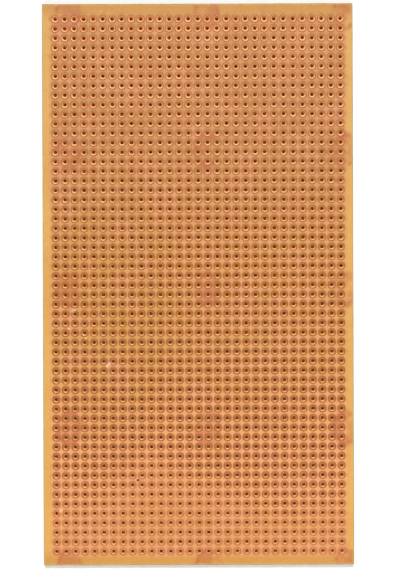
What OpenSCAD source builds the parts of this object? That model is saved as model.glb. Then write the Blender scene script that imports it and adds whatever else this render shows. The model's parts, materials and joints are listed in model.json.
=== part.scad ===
// Prototype board: a punched phenolic-paper laminate with a copper pad round each hole.
// It lies flat with its copper side up: X runs across it, Y along it and Z up.
// The origin is the middle of the underside. All sizes are in millimetres.

/* [Laminate] */
// Width of the board, across its columns of holes
board_w = 83; // [20:1:150]
// Length of the board, along its columns of holes
board_l = 150; // [20:1:180]
// Thickness of the laminate, without its copper
board_t = 1.6; // [0.8:0.1:3.2]

/* [Holes] */
// Distance between the centres of neighbouring holes, both across and along
pitch = 2.54; // [2.1:0.01:5.08]
// Diameter of each punched hole
hole_d = 1; // [0.6:0.05:1.4]
// From the left edge to the centres of the first column
left_margin = 3.5; // [1.5:0.1:8]
// Least distance from the right edge to the centres of the last column
right_margin = 3.2; // [1.5:0.1:8]
// From the far end to the centres of the first row
far_margin = 4.1; // [1.5:0.1:8]
// Least distance from the near end to the centres of the last row
near_margin = 3.5; // [1.5:0.1:8]

/* [Copper pads] */
// Width of the copper ring round each hole
ring_w = 0.47; // [0.2:0.01:0.55]
// Thickness of the copper foil
foil_t = 0.035; // [0.018:0.001:0.105]

/* [Hidden] */
// As many columns and rows as the board has room for between its margins
columns = floor((board_w - left_margin - right_margin) / pitch) + 1;
rows = floor((board_l - far_margin - near_margin) / pitch) + 1;
pad_d = hole_d + 2 * ring_w;
// How far a cutting tool runs past the faces that it cuts
past = 1;
laminate_colour = [0.88, 0.62, 0.32];
copper_colour = [0.85, 0.55, 0.38];
$fn = 32;

// Columns are counted from the left edge and rows from the far end
function hole_x(column) = left_margin + (column - 1) * pitch - board_w / 2;
function hole_y(row) = board_l / 2 - far_margin - (row - 1) * pitch;
function pad_column_name(column) = str("pad_column_", column < 10 ? "0" : "", column);

// The outline of the board with every hole punched through it
module laminate() {
    color(laminate_colour)
        linear_extrude(board_t)
            difference() {
                square([board_w, board_l], center = true);
                for (column = [1 : columns], row = [1 : rows])
                    translate([hole_x(column), hole_y(row)])
                        circle(d = hole_d);
            }
}

// One ring of foil, punched in the same stroke as the hole under it
module pad() {
    difference() {
        cylinder(d = pad_d, h = foil_t);
        translate([0, 0, -past])
            cylinder(d = hole_d, h = foil_t + 2 * past);
    }
}

// The pads of one column, each a solid of its own, seated on the laminate's upper face
module pad_column(column) {
    color(copper_colour)
        for (row = [1 : rows])
            translate([hole_x(column), hole_y(row), board_t])
                pad();
}

laminate();
for (column = [1 : columns])
    pad_column(column);
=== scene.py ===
"""Looks of a prototype board: a punched phenolic laminate with a copper pad round every hole."""
import json
import math

import bpy
import numpy as np
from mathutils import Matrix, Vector


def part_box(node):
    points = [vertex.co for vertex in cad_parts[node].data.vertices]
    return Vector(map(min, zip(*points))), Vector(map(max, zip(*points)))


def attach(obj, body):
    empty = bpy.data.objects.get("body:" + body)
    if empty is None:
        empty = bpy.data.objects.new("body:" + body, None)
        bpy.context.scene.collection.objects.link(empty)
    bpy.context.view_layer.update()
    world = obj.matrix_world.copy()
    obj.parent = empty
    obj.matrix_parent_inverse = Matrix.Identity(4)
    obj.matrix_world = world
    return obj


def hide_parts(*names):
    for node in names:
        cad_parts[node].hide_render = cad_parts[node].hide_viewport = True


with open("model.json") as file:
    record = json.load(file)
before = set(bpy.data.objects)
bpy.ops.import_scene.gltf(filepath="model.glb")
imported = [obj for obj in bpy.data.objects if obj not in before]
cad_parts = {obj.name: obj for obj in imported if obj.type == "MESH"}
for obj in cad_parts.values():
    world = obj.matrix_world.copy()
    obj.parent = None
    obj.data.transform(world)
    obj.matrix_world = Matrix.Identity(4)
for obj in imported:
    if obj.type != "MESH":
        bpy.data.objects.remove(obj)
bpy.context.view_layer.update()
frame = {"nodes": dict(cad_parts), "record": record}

# ---- sizes, in metres, read from the frame ----
MM = 0.001
BODY = "root"
PAD_NODES = sorted(name for name in frame["nodes"] if name.startswith("pad_column_"))
pad_low, pad_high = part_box(PAD_NODES[0])
next_low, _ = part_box(PAD_NODES[1])
board_low, board_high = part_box("laminate")
lead_hole = next(mount for mount in frame["record"]["mounts"] if mount["name"] == "first_lead_hole")
PITCH = next_low.x - pad_low.x
PAD_R = (pad_high.x - pad_low.x) / 2
HOLE_R = lead_hole["dims"]["r_mm"] * MM
FOIL = pad_high.z - pad_low.z
TOP = board_high.z
ROWS = round((pad_high.y - pad_low.y - 2 * PAD_R) / PITCH) + 1
COLUMNS = len(PAD_NODES)
column_x = np.array([sum(corner.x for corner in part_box(name)) / 2 for name in PAD_NODES])
row_y = pad_high.y - PAD_R - PITCH * np.arange(ROWS)

# ---- shape of the finish ----
MOUTH_R = HOLE_R + 0.30 * MM  # where the punch starts to draw the surface down
MOUTH_DEPTH = 0.105 * MM  # how far it draws it down at the hole
LIP_R = HOLE_R - 0.075 * MM  # the foil drawn into the hole narrows it to this
EDGE_BEVEL = 0.14 * MM  # how far in the crumbled corners of the sheared edges reach
BEVEL_TOP = 0.8 * EDGE_BEVEL  # how far down the upper corner is bevelled
BEVEL_UNDER = 0.5 * EDGE_BEVEL  # how far up the lower corner is
HOLE_SEGMENTS = 16
PAD_SEGMENTS = 20
WOBBLE_STEPS = 5  # places round a pad where the etching has moved its edge in or out
WOBBLE = 0.008 * MM  # how far it moves it, as a standard deviation
FACE, WALL, EDGE, UNDERSIDE = range(4)  # the laminate's material slots
rng = np.random.default_rng(57)

# ---- where the lacquer's colours lie ----
DRIFT_STOPS = (-72 * MM, -52 * MM, -8 * MM, 50 * MM)  # along the board: stops of the field's painted light falloff and of the pads' tone
NEAR_END_SPAN = (-68 * MM, -46 * MM)  # along the board, where the near end's values give way to those of the rest
OLIVE_PATCH = (-24, -6, 34, 64)  # where the lacquer is greener, in millimetres: x, y, width, length
SPECK_PLACE = (-16.2, -52.3, 0.8, 0.7)  # a dark speck between pads, likewise
MARK_SPACING = 37 * MM  # of the faded marks, both ways
MARK_START = (-34.6 * MM, -1.4 * MM)  # centre of one of them
MARK_SIZE = (6.5 * MM, 9.0 * MM)
# Scrapes in the lacquer, in millimetres and degrees: x, y, length, width, turn
SCRATCHES = [
    (-23.9, -21.2, 1.5, 0.8, 40),
    (-24.3, -21.9, 0.9, 0.7, 100),
    (-33.3, -7.0, 1.5, 1.1, 50),
    (-30.6, -13.3, 0.6, 0.5, 0),
    (-30.1, -14.3, 0.7, 0.5, 70),
    (-34.6, -11.8, 0.8, 0.35, 20),
    (-36.9, -60.4, 1.1, 0.7, 60),
    (-37.1, -57.5, 0.8, 0.4, 100),
]
SCRAPED = 0.85  # how much of the pale colour shows there

# ---- colours, linear ----
GOLD = (0.625, 0.335, 0.090, 1)  # the margins
AMBER = (0.57, 0.27, 0.058, 1)  # clouds and fibres in the gold
BROWNED = (0.49, 0.225, 0.05, 1)  # the short edges and dark flecks
SALMON_WITH_PAINTED_FALLOFF = (  # the lacquer of the field at each of DRIFT_STOPS, with painted light falloff: lightest at the second stop, darkest at the far end
    (0.625, 0.250, 0.098, 1),
    (0.705, 0.292, 0.125, 1),
    (0.590, 0.270, 0.097, 1),
    (0.485, 0.212, 0.082, 1),
)
OLIVE = (0.50, 0.245, 0.050, 1)  # OLIVE_PATCH
RING_LACQUER_AND_SHADE = (0.27, 0.085, 0.018, 1)  # lacquer gathered round the pads, and painted shade at the foot of each pad's edge
RED = (0.41, 0.090, 0.042, 1)  # the faded marks
DULLED = (0.47, 0.215, 0.070, 1)  # mottling
FLECKED = (0.80, 0.43, 0.19, 1)  # pale speckles
PINKISH = (0.66, 0.285, 0.150, 1)  # blotches in the field
SPECK = (0.16, 0.05, 0.015, 1)
PAINTED_BEVEL_SHADING = (0.50, 0.37, 0.135, 1)  # painted bevel shading: a thin greener line along the sheared edges, for how light falls on the bevel
SCRATCHED = (0.76, 0.45, 0.26, 1)
PUNCHED = (0.80, 0.31, 0.026, 1)  # the holes' walls, paper layers in two tones
PUNCHED_PALE = (0.87, 0.40, 0.040, 1)
SHEARED = (0.24, 0.145, 0.055, 1)  # the board's edges, likewise
SHEARED_PALE = (0.44, 0.285, 0.11, 1)
BARE = (0.33, 0.175, 0.060, 1)  # the underside, in clouds of two tones
BARE_PALE = (0.47, 0.270, 0.100, 1)
BROKEN_OUT = (0.60, 0.40, 0.20, 1)  # round the holes of the underside
COPPER = (  # the lacquered pads, at each of DRIFT_STOPS
    (0.75, 0.30, 0.105, 1),
    (0.82, 0.32, 0.115, 1),
    (0.75, 0.30, 0.070, 1),
    (0.80, 0.34, 0.120, 1),
)
COPPER_PINK = (0.78, 0.30, 0.13, 1)  # some pads more than others
COPPER_STAINS_AND_RIM_SHADE = (0.33, 0.10, 0.02, 1)  # stains, and painted shade on the pads' outer rims
FLOOR_WHITE = (0.955, 0.955, 0.95, 1)
FLOOR_WHITER = (0.975, 0.975, 0.97, 1)


# ---- mesh helpers ----
class MeshParts:
    """The vertices and faces of a mesh in the making, and each face's material slot."""

    def __init__(self):
        self.vertices = []
        self.faces = []
        self.slots = []
        self.count = 0

    def add_points(self, flat, height):
        """Add points, given as (x, y), at one height. Returns the number of the first."""
        first = self.count
        self.vertices.append(np.column_stack([flat, np.full(len(flat), height)]))
        self.count += len(flat)
        return first

    def add_faces(self, faces, slot=0):
        """Add faces, given by the numbers of their corners, in one material slot."""
        self.faces += faces
        self.slots += [slot] * len(faces)


def new_mesh(name, parts, smooth_angle):
    """A mesh object with smooth shading, apart from edges sharper than smooth_angle in degrees."""
    mesh = bpy.data.meshes.new(name)
    mesh.from_pydata(np.concatenate(parts.vertices).tolist(), [], parts.faces)
    mesh.polygons.foreach_set("material_index", np.asarray(parts.slots, np.int32))
    mesh.shade_smooth()
    mesh.set_sharp_from_angle(angle=math.radians(smooth_angle))
    mesh.validate()
    piece = bpy.data.objects.new(name, mesh)
    bpy.context.scene.collection.objects.link(piece)
    return piece


def circle(segments):
    """Unit directions round a circle, anticlockwise from +X."""
    angle = 2 * math.pi * np.arange(segments) / segments
    return np.stack([np.cos(angle), np.sin(angle)], axis=1)


def loop_quads(first, second, segments):
    """Quads between two loops of vertices, given by the number of each loop's first vertex."""
    here = np.arange(segments)
    there = (here + 1) % segments
    return np.stack([first + here, first + there, second + there, second + here], axis=1).tolist()


# ---- laminate ----
def lattice_lines():
    """Where the laminate's lattice has its lines: round the holes' squares and just inside the edges."""
    half = PITCH / 2
    lines_x = [board_low.x + EDGE_BEVEL, *(column_x - half), column_x[-1] + half, board_high.x - EDGE_BEVEL]
    lines_y = [board_high.y - EDGE_BEVEL, *(row_y + half), row_y[-1] - half, board_low.y + EDGE_BEVEL]
    return lines_x, lines_y


def punch_hole(parts, centre, top, bottom):
    """One square with its hole. top and bottom are the square's corners, anticlockwise from +X+Y."""
    around = circle(HOLE_SEGMENTS)
    mouth = parts.add_points(centre + around * MOUTH_R, TOP)
    foot = parts.add_points(centre + around * HOLE_R, TOP - MOUTH_DEPTH)
    below = parts.add_points(centre + around * HOLE_R, 0.0)
    quarter = HOLE_SEGMENTS // 4
    for side in range(4):
        for here in range(side * quarter, (side + 1) * quarter):
            there = (here + 1) % HOLE_SEGMENTS
            parts.add_faces([(top[side], mouth + there, mouth + here)], FACE)
            parts.add_faces([(bottom[side], below + here, below + there)], UNDERSIDE)
        after = (side + 1) % 4
        parts.add_faces([(top[side], top[after], mouth + after * quarter)], FACE)
        parts.add_faces([(bottom[side], below + after * quarter, bottom[after])], UNDERSIDE)
    parts.add_faces(loop_quads(mouth, foot, HOLE_SEGMENTS), WALL)
    parts.add_faces(loop_quads(foot, below, HOLE_SEGMENTS), WALL)


def add_margins(parts, top, bottom):
    """The lattice's squares outside the field of holes. top and bottom hold its corners by row and column."""
    for row in range(len(top) - 1):
        for column in range(len(top[0]) - 1):
            if 1 <= row <= ROWS and 1 <= column <= COLUMNS:
                continue
            square = [(row, column), (row + 1, column), (row + 1, column + 1), (row, column + 1)]
            parts.add_faces([tuple(top[a][b] for a, b in square)], FACE)
            parts.add_faces([tuple(bottom[a][b] for a, b in reversed(square))], UNDERSIDE)


def add_rim(parts, lines_x, lines_y, top, bottom):
    """The board's outer edge, clockwise from the far left: upper bevel, sheared side and lower bevel."""
    last_row, last_column = len(lines_y) - 1, len(lines_x) - 1
    rim = [(0, column) for column in range(last_column + 1)]
    rim += [(row, last_column) for row in range(1, last_row + 1)]
    rim += [(last_row, column) for column in range(last_column - 1, -1, -1)]
    rim += [(row, 0) for row in range(last_row - 1, 0, -1)]
    out_x = {0: -EDGE_BEVEL, last_column: EDGE_BEVEL}
    out_y = {0: EDGE_BEVEL, last_row: -EDGE_BEVEL}
    outline = []
    for row, column in rim:
        outline.append((lines_x[column] + out_x.get(column, 0), lines_y[row] + out_y.get(row, 0)))
    upper = parts.add_points(outline, TOP - BEVEL_TOP)
    lower = parts.add_points(outline, BEVEL_UNDER)
    loops = [
        [top[row][column] for row, column in rim],
        range(upper, upper + len(rim)),
        range(lower, lower + len(rim)),
        [bottom[row][column] for row, column in rim],
    ]
    for here in range(len(rim)):
        there = (here + 1) % len(rim)
        for over, under in zip(loops, loops[1:]):
            parts.add_faces([(over[here], over[there], under[there], under[here])], EDGE)


def laminate_mesh():
    """The board as one closed mesh: a lattice of squares, holes in the inner ones, and a bevelled rim."""
    parts = MeshParts()
    lines_x, lines_y = lattice_lines()
    grid = np.stack(np.meshgrid(lines_x, lines_y), axis=2)
    points = grid.reshape(-1, 2)
    numbers = np.arange(len(points)).reshape(grid.shape[:2])
    top = (parts.add_points(points, TOP) + numbers).tolist()
    bottom = (parts.add_points(points, 0.0) + numbers).tolist()
    for row in range(ROWS):
        for column in range(COLUMNS):
            far, near, left, right = row + 1, row + 2, column + 1, column + 2
            square = [(far, right), (far, left), (near, left), (near, right)]
            centre = np.array([column_x[column], row_y[row]])
            punch_hole(parts, centre, [top[a][b] for a, b in square], [bottom[a][b] for a, b in square])
    add_margins(parts, top, bottom)
    add_rim(parts, lines_x, lines_y, top, bottom)
    return parts


# ---- pads ----
def pad_profile():
    """The foil's closed section, as (radius, height over the laminate): its outer edge, dish and lip."""
    outer = [
        (PAD_R, 0.0),
        (PAD_R - 0.018 * MM, FOIL * 0.50),
        (PAD_R - 0.060 * MM, FOIL * 0.84),
        (PAD_R - 0.140 * MM, FOIL),
    ]
    dish = [
        (MOUTH_R - 0.060 * MM, FOIL - 0.012 * MM),
        (MOUTH_R - 0.190 * MM, FOIL - 0.048 * MM),
        (LIP_R + 0.035 * MM, FOIL - 0.115 * MM),
    ]
    lip = [
        (LIP_R, -MOUTH_DEPTH - 0.07 * MM),
        (HOLE_R - 0.002 * MM, -MOUTH_DEPTH - 0.01 * MM),
        (MOUTH_R, 0.0),
    ]
    return outer, dish, lip


def pad_column_mesh(centre_x):
    """All pads of one column, and each vertex's tone. Edge, dish and tone differ a little from pad to pad."""
    parts = MeshParts()
    around = circle(PAD_SEGMENTS)
    outer, dish, lip = pad_profile()
    places = np.linspace(0, PAD_SEGMENTS, WOBBLE_STEPS + 1)
    tones = []
    for centre_y in row_y:
        pull = rng.normal(0, WOBBLE, WOBBLE_STEPS)
        wobble = np.interp(np.arange(PAD_SEGMENTS), places, np.append(pull, pull[0]))
        depth = 1 + rng.uniform(-0.4, 0.2)
        rings = [(np.minimum(radius + wobble, PAD_R), height) for radius, height in outer]
        rings += [(radius, FOIL + (height - FOIL) * depth) for radius, height in dish]
        rings += lip
        loops = []
        for reach, height in rings:
            ring = np.array([centre_x, centre_y]) + around * np.reshape(reach, (-1, 1))
            loops.append(parts.add_points(ring, TOP + height))
        for first, second in zip(loops, loops[1:] + loops[:1]):
            parts.add_faces(loop_quads(first, second, PAD_SEGMENTS))
        tones += [rng.uniform(0, 1)] * (PAD_SEGMENTS * len(rings))
    return parts, tones


# ---- node helpers ----
def fill(tree, sockets, inputs):
    """Set sockets, named or numbered in inputs, to their values, or link them to the outputs given there."""
    for key, value in inputs.items():
        if isinstance(value, bpy.types.NodeSocket):
            tree.links.new(value, sockets[key])
        else:
            sockets[key].default_value = value


def node(tree, kind, inputs=None, **settings):
    """A new node of this kind, with its settings and inputs."""
    made = tree.nodes.new(kind)
    for key, value in settings.items():
        setattr(made, key, value)
    fill(tree, made.inputs, inputs or {})
    return made


def material(name):
    """A new node material, its tree, its shader's sockets, and each point's place in the object's frame."""
    made = bpy.data.materials.new(name)
    made.use_nodes = True
    tree = made.node_tree
    where = node(tree, "ShaderNodeTexCoord").outputs["Object"]
    return made, tree, tree.nodes["Principled BSDF"].inputs, where


def axes_of(tree, where):
    """A place's x, y and z."""
    return node(tree, "ShaderNodeSeparateXYZ", {0: where}).outputs


def maths(tree, operation, a, b=0.0):
    """One operation of Blender's maths node on one or two values, each a number or an output."""
    return node(tree, "ShaderNodeMath", {0: a, 1: b}, operation=operation).outputs[0]


def plus(tree, a, b):
    """a + b"""
    return maths(tree, "ADD", a, b)


def minus(tree, a, b):
    """a - b"""
    return maths(tree, "SUBTRACT", a, b)


def times(tree, *factors):
    """The product of these values."""
    product = factors[0]
    for factor in factors[1:]:
        product = maths(tree, "MULTIPLY", product, factor)
    return product


def squares(tree, a, b):
    """a squared + b squared"""
    return plus(tree, maths(tree, "POWER", a, 2.0), maths(tree, "POWER", b, 2.0))


def mix(tree, share, a, b):
    """A colour from a to b by share."""
    return node(tree, "ShaderNodeMix", {0: share, 6: a, 7: b}, data_type="RGBA").outputs[2]


def rescale(tree, value, low, high, at_low=0.0, at_high=1.0):
    """at_low below low, at_high above high, in proportion between."""
    inputs = {0: value, 1: low, 2: high, 3: at_low, 4: at_high}
    return node(tree, "ShaderNodeMapRange", inputs).outputs[0]


def ramp(tree, value, low, high):
    """0 below low, 1 above high, smooth between."""
    inputs = {0: value, 1: low, 2: high}
    return node(tree, "ShaderNodeMapRange", inputs, interpolation_type="SMOOTHSTEP").outputs[0]


def fall(tree, value, low, high):
    """1 below low, 0 above high, smooth between."""
    return minus(tree, 1.0, ramp(tree, value, low, high))


def band(tree, share, places, colours):
    """The colour at share on a band that eases through these colours at these places from 0 to 1."""
    made = node(tree, "ShaderNodeValToRGB", {0: share})
    made.color_ramp.interpolation = "EASE"
    stops = made.color_ramp.elements
    for number, (place, colour) in enumerate(zip(places, colours)):
        stop = stops[number] if number < 2 else stops.new(1.0)  # a new band has two stops
        stop.position = place
        stop.color = colour
    return made.outputs[0]


def noise(tree, where, scale, detail, roughness=0.55, stretch=(1, 1, 1)):
    """Noise from 0 to 1, with about scale features a metre, times stretch along each axis."""
    moved = node(tree, "ShaderNodeMapping", {"Vector": where, "Scale": stretch}).outputs[0]
    inputs = {"Vector": moved, "Scale": scale, "Detail": detail, "Roughness": roughness}
    return node(tree, "ShaderNodeTexNoise", inputs).outputs[0]


def ragged(tree, where, scale, detail, reach):
    """Noise about 0, reach from end to end, which makes an edge or a measure wander."""
    return times(tree, minus(tree, noise(tree, where, scale, detail), 0.5), reach)


def off_nearest(tree, along, first, spacing):
    """How far a coordinate is past the nearest of a row of places, spacing apart, of which first is one."""
    shifted = minus(tree, along, first - spacing / 2)
    return minus(tree, maths(tree, "FLOORED_MODULO", shifted, spacing), spacing / 2)


def bump(tree, height, strength, distance):
    """A normal roughened by height, at distance in metres for a height of 1."""
    inputs = {"Height": height, "Strength": strength, "Distance": distance}
    return node(tree, "ShaderNodeBump", inputs).outputs[0]


# ---- where on the board things are ----
def field_mask(tree, where):
    """1 within the field of pads and 0 in the margins, soft and uneven at its edge."""
    wander = ragged(tree, where, 500, 2, 1.2 * MM)
    over = []
    for axis, places in zip(axes_of(tree, where), (column_x, row_y)):
        middle = (places[0] + places[-1]) / 2
        half = abs(places[-1] - places[0]) / 2 + PAD_R
        off = maths(tree, "ABSOLUTE", minus(tree, axis, middle))
        over.append(minus(tree, plus(tree, off, wander), half))
    return fall(tree, maths(tree, "MAXIMUM", *over), -0.2 * MM, 0.9 * MM)


def unevenly_along(tree, where):
    """A point's place along the board, wandering to and fro."""
    return plus(tree, axes_of(tree, where)[1], ragged(tree, where, 22, 3, 70 * MM))


def along_board(tree, where, colours):
    """A colour that drifts along the board through these, one at each of DRIFT_STOPS. In the field it carries
    painted light falloff.
    """
    share = rescale(tree, unevenly_along(tree, where), board_low.y, board_high.y)
    places = [(place - board_low.y) / (board_high.y - board_low.y) for place in DRIFT_STOPS]
    return band(tree, share, places, colours)


def evened(tree, where, share, near_share):
    """share over most of the board, near_share at the near end, where the pads are less metallic and their
    painted edge shade is weaker.
    """
    near = fall(tree, unevenly_along(tree, where), *NEAR_END_SPAN)
    return rescale(tree, near, 0, 1, share, near_share)


def darker_short_ends(tree, where):
    """1 towards the two short edges, where the margins are darkened, and 0 between them."""
    off = maths(tree, "ABSOLUTE", axes_of(tree, where)[1])
    off = plus(tree, off, ragged(tree, where, 180, 3, 3 * MM))
    return ramp(tree, off, board_high.y - 4.5 * MM, board_high.y - 1.5 * MM)


def painted_bevel_line(tree, where):
    """1 at the sheared edges, falling unevenly to 0 just inside them: where the bevel's shading is painted.
    """
    inside = []
    for axis, half in zip(axes_of(tree, where), board_high[:2]):
        inside.append(minus(tree, half, maths(tree, "ABSOLUTE", axis)))
    nearest = plus(tree, maths(tree, "MINIMUM", *inside), ragged(tree, where, 900, 3, 0.9 * MM))
    return fall(tree, nearest, 0.12 * MM, 0.62 * MM)


def hole_distance(tree, where):
    """How far a point lies from the middle of the nearest hole, from the spacing of the grid."""
    x, y, _ = axes_of(tree, where)
    off_x = off_nearest(tree, x, column_x[0], PITCH)
    off_y = off_nearest(tree, y, row_y[0], PITCH)
    return maths(tree, "SQRT", squares(tree, off_x, off_y))


def oval(tree, where, place, soft=0.5):
    """1 within the oval given in millimetres as x, y, width and length, and 0 outside, soft at its edge."""
    x, y, _ = axes_of(tree, where)
    middle_x, middle_y, width, length = place
    across = maths(tree, "DIVIDE", minus(tree, x, middle_x * MM), width * MM / 2)
    along = maths(tree, "DIVIDE", minus(tree, y, middle_y * MM), length * MM / 2)
    return fall(tree, squares(tree, across, along), 1 - soft, 1 + soft)


def faded_marks(tree, where):
    """Soft worn ovals, densest at their rims: a mark repeated over the sheet that the board was cut from."""
    off = []
    for axis, first, size in zip(axes_of(tree, where), MARK_START, MARK_SIZE):
        off.append(maths(tree, "DIVIDE", off_nearest(tree, axis, first, MARK_SPACING), size / 2))
    reach = maths(tree, "SQRT", squares(tree, *off))
    inside = fall(tree, reach, 0.55, 1.25)
    rim = fall(tree, maths(tree, "ABSOLUTE", minus(tree, reach, 0.95)), 0.02, 0.28)
    both = plus(tree, times(tree, inside, 0.5), times(tree, rim, 0.5))
    strength = rescale(tree, field_mask(tree, where), 0, 1, 0.95, 0.9)
    left = ramp(tree, noise(tree, where, 260, detail=3, roughness=0.6), 0.30, 0.60)
    return times(tree, both, strength, left)


def scratches(tree, where):
    """SCRAPED at the few places where the lacquer is scraped pale, and 0 elsewhere, with torn edges."""
    x, y, _ = axes_of(tree, where)
    torn = ragged(tree, where, 1500, 3, 3.5)
    found = 0.0
    for middle_x, middle_y, length, width, degrees in SCRATCHES:
        cosine, sine = math.cos(math.radians(degrees)), math.sin(math.radians(degrees))
        over = minus(tree, x, middle_x * MM)
        up = minus(tree, y, middle_y * MM)
        along = plus(tree, times(tree, over, cosine), times(tree, up, sine))
        across = minus(tree, times(tree, up, cosine), times(tree, over, sine))
        reach = squares(tree, times(tree, along, 2 / (length * MM)), times(tree, across, 2 / (width * MM)))
        here = fall(tree, plus(tree, reach, torn), 0.5, 1.4)
        found = maths(tree, "MAXIMUM", found, here)
    return times(tree, found, SCRAPED)


# ---- materials ----
def laminate_material():
    """The copper side: golden margins, and salmon lacquer over the field with painted light falloff along the
    board, brown round the pads from gathered lacquer and painted edge shade, and painted bevel shading at the
    sheared edges.
    """
    made, tree, sockets, where = material("phenolic_face")
    fibre = noise(tree, where, 420, detail=4, roughness=0.6, stretch=(1, 3.2, 1))
    cloud = noise(tree, where, 60, detail=3, roughness=0.5)
    mottle = noise(tree, where, 170, detail=4, roughness=0.6)
    blotch = noise(tree, where, 120, detail=3, roughness=0.5)
    fleck = noise(tree, where, 1300, detail=3, roughness=0.6, stretch=(1, 2.5, 1))
    speckle = noise(tree, where, 2100, detail=2, roughness=0.5, stretch=(2.2, 1, 1))
    in_field = field_mask(tree, where)
    # painted shade: a dark ring at the foot of each pad's edge, also standing for lacquer gathered there
    pooled_lacquer_and_shade = fall(tree, hole_distance(tree, where), PAD_R + 0.03 * MM, PAD_R + 0.33 * MM)
    # painted light falloff: the field's lacquer is lightest towards the near end and darkest at the far end
    salmon = along_board(tree, where, SALMON_WITH_PAINTED_FALLOFF)
    salmon = mix(tree, times(tree, oval(tree, where, OLIVE_PATCH, soft=0.9), 0.55), salmon, OLIVE)
    colour = mix(tree, times(tree, ramp(tree, cloud, 0.4, 0.7), 0.5), GOLD, AMBER)
    colour = mix(tree, times(tree, ramp(tree, fibre, 0.45, 0.8), 0.35), colour, AMBER)
    colour = mix(tree, times(tree, darker_short_ends(tree, where), 0.8), colour, BROWNED)
    colour = mix(tree, times(tree, in_field, 0.85), colour, salmon)
    colour = mix(tree, times(tree, ramp(tree, blotch, 0.46, 0.66), in_field, 0.55), colour, PINKISH)
    colour = mix(tree, times(tree, ramp(tree, mottle, 0.50, 0.72), 0.34), colour, DULLED)
    colour = mix(tree, times(tree, ramp(tree, fleck, 0.52, 0.72), 0.40), colour, BROWNED)
    colour = mix(tree, times(tree, ramp(tree, speckle, 0.55, 0.75), 0.35), colour, FLECKED)
    # the ring round the pads: gathered lacquer and painted edge shade, weaker at the near end
    colour = mix(tree, times(tree, in_field, pooled_lacquer_and_shade, evened(tree, where, 0.8, 0.5)), colour, RING_LACQUER_AND_SHADE)
    colour = mix(tree, faded_marks(tree, where), colour, RED)
    # painted bevel shading along the sheared edges
    colour = mix(tree, times(tree, painted_bevel_line(tree, where), 0.65), colour, PAINTED_BEVEL_SHADING)
    colour = mix(tree, oval(tree, where, SPECK_PLACE), colour, SPECK)
    colour = mix(tree, scratches(tree, where), colour, SCRATCHED)
    fill(tree, sockets, {
        "Base Color": colour,
        "Roughness": rescale(tree, fibre, 0.2, 0.8, 0.36, 0.55),
        "Normal": bump(tree, fibre, 0.25, 0.02 * MM),
        "Specular IOR Level": 0.35,
    })
    return made


def underside_material():
    """The bare side: plain brown laminate, its paper showing, paler where the punch broke out of it."""
    made, tree, sockets, where = material("phenolic_underside")
    fibre = noise(tree, where, 420, detail=4, roughness=0.6, stretch=(1, 3.2, 1))
    cloud = noise(tree, where, 45, detail=3, roughness=0.5)
    reach = plus(tree, hole_distance(tree, where), ragged(tree, where, 1400, 3, 0.3 * MM))
    broken = fall(tree, reach, HOLE_R + 0.04 * MM, HOLE_R + 0.20 * MM)
    broken = times(tree, broken, field_mask(tree, where))
    colour = mix(tree, ramp(tree, cloud, 0.35, 0.7), BARE, BARE_PALE)
    colour = mix(tree, times(tree, ramp(tree, fibre, 0.5, 0.8), 0.4), colour, BARE)
    colour = mix(tree, times(tree, broken, 0.6), colour, BROKEN_OUT)
    rough = rescale(tree, fibre, 0.2, 0.8, 0.40, 0.60)
    relief = plus(tree, fibre, times(tree, broken, noise(tree, where, 3000, detail=2)))
    fill(tree, sockets, {
        "Base Color": colour,
        "Roughness": plus(tree, rough, times(tree, broken, 0.3)),
        "Normal": bump(tree, relief, 0.35, 0.02 * MM),
        "Specular IOR Level": 0.3,
    })
    return made


def cut_material(name, dark, pale, glow):
    """Raw punched or sheared laminate, rough layers of paper seen end-on. glow is how much light seeps in."""
    made, tree, sockets, where = material(name)
    layers = noise(tree, where, 900, detail=3, roughness=0.6, stretch=(0.25, 0.25, 4))
    fill(tree, sockets, {
        "Base Color": mix(tree, ramp(tree, layers, 0.3, 0.75), dark, pale),
        "Normal": bump(tree, layers, 0.6, 0.03 * MM),
        "Roughness": 0.85,
        "Specular IOR Level": 0.1,
        "Subsurface Weight": glow,
        "Subsurface Radius": (1.0, 0.35, 0.08),
        "Subsurface Scale": 0.8 * MM,
    })
    return made


def copper_material():
    """Lacquered copper, a little different from pad to pad, with stains here and there and painted shade
    darkening the rims.
    """
    made, tree, sockets, where = material("copper_pad")
    tone = node(tree, "ShaderNodeAttribute", attribute_name="pad_tone").outputs["Fac"]
    grain = noise(tree, where, 1500, detail=3, roughness=0.6)
    cloud = noise(tree, where, 300, detail=3, roughness=0.5)
    # painted shade: the outer rim of every pad is darkened
    rim = ramp(tree, hole_distance(tree, where), PAD_R - 0.22 * MM, PAD_R - 0.04 * MM)
    rim = times(tree, rim, evened(tree, where, 0.65, 0.45))
    stains_and_rim_shade = maths(tree, "MAXIMUM", times(tree, ramp(tree, cloud, 0.5, 0.8), 0.3), rim)
    colour = mix(tree, times(tree, tone, 0.7), along_board(tree, where, COPPER), COPPER_PINK)
    colour = mix(tree, stains_and_rim_shade, colour, COPPER_STAINS_AND_RIM_SHADE)
    colour = mix(tree, scratches(tree, where), colour, SCRATCHED)
    fill(tree, sockets, {
        "Base Color": colour,
        "Metallic": evened(tree, where, 0.66, 0.45),
        "Roughness": rescale(tree, grain, 0.2, 0.8, 0.25, 0.40),
        "Normal": bump(tree, grain, 0.2, 0.006 * MM),
        "Specular IOR Level": 0.3,
    })
    return made


def floor_material():
    """A matt white surface with a faint tooth."""
    made, tree, sockets, where = material("pale_floor")
    tooth = noise(tree, where, 60, detail=4, roughness=0.6)
    fill(tree, sockets, {"Base Color": mix(tree, tooth, FLOOR_WHITE, FLOOR_WHITER), "Roughness": 0.9})
    return made


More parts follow.
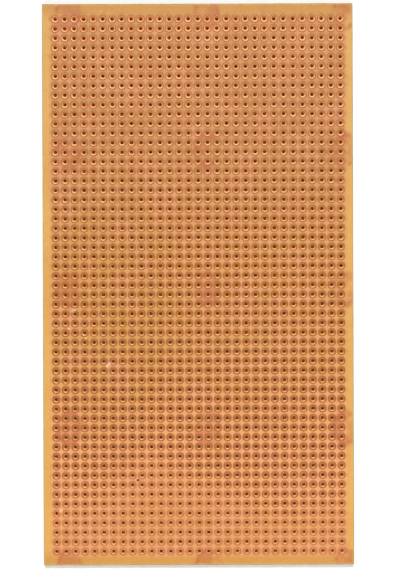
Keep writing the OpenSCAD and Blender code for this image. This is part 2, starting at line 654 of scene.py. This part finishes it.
# ---- pieces ----
def build_laminate():
    """The laminate as one piece with four materials, in the order of its slots."""
    piece = new_mesh("punched_laminate", laminate_mesh(), smooth_angle=35)
    piece.data.materials.append(laminate_material())
    piece.data.materials.append(cut_material("phenolic_hole_wall", PUNCHED, PUNCHED_PALE, glow=0.5))
    piece.data.materials.append(cut_material("phenolic_sheared_edge", SHEARED, SHEARED_PALE, glow=0.0))
    piece.data.materials.append(underside_material())
    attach(piece, BODY)
    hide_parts("laminate")


def build_pads():
    """One piece for each column of pads."""
    finish = copper_material()
    for name, centre_x in zip(PAD_NODES, column_x):
        parts, tones = pad_column_mesh(centre_x)
        piece = new_mesh(name.replace("pad_column", "copper_pads"), parts, smooth_angle=50)
        piece.data.attributes.new("pad_tone", "FLOAT", "POINT").data.foreach_set("value", tones)
        piece.data.materials.append(finish)
        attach(piece, BODY)
        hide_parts(name)


# ---- camera, floor and light ----
CAMERA_HEIGHT = 0.30  # above the copper side
VIEW_HEIGHT = 0.1523  # how much of the board's plane the picture's height takes in
SENSOR = 36.0  # millimetres, as Blender has it
CAMERA_PLACE = (0.0005, -0.0002)  # over the board
CAMERA_ROLL = math.radians(-0.19)
FLOOR_HALF = 6.0  # from its middle to its sides
FLOOR_GAP = 0.02 * MM  # between the floor and the underside
SKY_STOPS = (0.05, 0.25, 0.72, 0.92)  # where the surroundings change, from 0 at the horizon to 1 overhead


def add_camera():
    """The camera straight above the board."""
    data = bpy.data.cameras.new("camera")
    data.sensor_width = SENSOR
    data.lens = SENSOR * CAMERA_HEIGHT / VIEW_HEIGHT
    camera = bpy.data.objects.new("camera", data)
    camera.location = (*CAMERA_PLACE, TOP + CAMERA_HEIGHT)
    camera.rotation_euler = (0, 0, CAMERA_ROLL)
    bpy.context.scene.collection.objects.link(camera)
    bpy.context.scene.camera = camera


def add_floor():
    """A wide pale floor just under the board."""
    half = FLOOR_HALF
    mesh = bpy.data.meshes.new("floor")
    corners = [(-half, -half, 0), (half, -half, 0), (half, half, 0), (-half, half, 0)]
    mesh.from_pydata(corners, [], [(0, 1, 2, 3)])
    floor = bpy.data.objects.new("floor", mesh)
    floor.location.z = -FLOOR_GAP
    mesh.materials.append(floor_material())
    bpy.context.scene.collection.objects.link(floor)


def add_light(kind, name, place, power, gloss=True, matt=True):
    """A light at place, turned to the board. gloss and matt say which kind of reflection it takes part in."""
    data = bpy.data.lights.new(name, kind)
    data.energy = power
    light = bpy.data.objects.new(name, data)
    light.location = place
    light.rotation_euler = Vector(place).to_track_quat("Z", "Y").to_euler()
    light.visible_camera = False
    light.visible_glossy = gloss
    light.visible_diffuse = matt
    bpy.context.scene.collection.objects.link(light)
    return data


def add_softbox(name, place, size, power, **seen):
    """A rectangular soft light."""
    data = add_light("AREA", name, place, power, **seen)
    data.shape = "RECTANGLE"
    data.size, data.size_y = size


def add_world(horizon, around, overhead):
    """Plain white surroundings, with one brightness at the horizon, one above it and one overhead."""
    world = bpy.data.worlds.new("studio")
    world.use_nodes = True
    tree = world.node_tree
    _, _, up = axes_of(tree, node(tree, "ShaderNodeTexCoord").outputs["Generated"])
    levels = [(level, level, level, 1) for level in (horizon, around, around, overhead)]
    fill(tree, tree.nodes["Background"].inputs, {"Color": band(tree, up, SKY_STOPS, levels)})
    bpy.context.scene.world = world


def light_scene():
    """A reflector beyond the far end for the gloss, and slanting daylight and a fill for what is matt."""
    add_world(horizon=0.95, around=0.45, overhead=0.03)
    add_softbox("far_reflector", place=(0.0, 0.75, 1.20), size=(1.4, 1.0), power=10.5, matt=False)
    daylight = add_light("SUN", "soft_daylight", place=(0.0, 0.92, 1.06), power=2.85, gloss=False)
    daylight.angle = math.radians(20)
    add_softbox("near_fill", place=(0.05, -0.45, 0.40), size=(0.7, 0.25), power=2.15, gloss=False)


build_laminate()
build_pads()
add_camera()
add_floor()
light_scene()
bpy.context.scene.view_settings.view_transform = "Standard"
